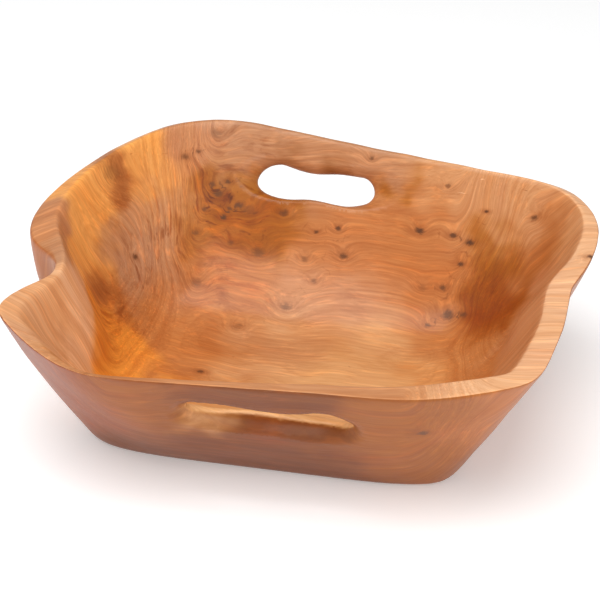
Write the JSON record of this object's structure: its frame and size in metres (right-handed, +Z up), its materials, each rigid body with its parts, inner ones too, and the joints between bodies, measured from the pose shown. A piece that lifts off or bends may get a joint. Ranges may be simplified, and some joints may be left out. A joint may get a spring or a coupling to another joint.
{
  "type": "carved wooden bowl",
  "caption": "Freeform bowl carved from one block of root wood, with leaning walls, a wavy rim, a notch in its left side and a hand slot through the front and the back wall.",
  "frame": {"origin": "on the resting plane, below the middle of the bowl's bounding box", "axes": "+Z up out of the hollow, +X along the bowl's length to the right of someone who stands before the front hand slot, +Y from the front hand slot to the back one"},
  "size_m": [0.315, 0.2546, 0.1144],
  "materials": {
    "lacquered_root_wood": "satin clear lacquer over polished reddish-tan root wood"
  },
  "bodies": {
    "root": {"bowl": "lacquered_root_wood"}
  },
  "joints": []
}
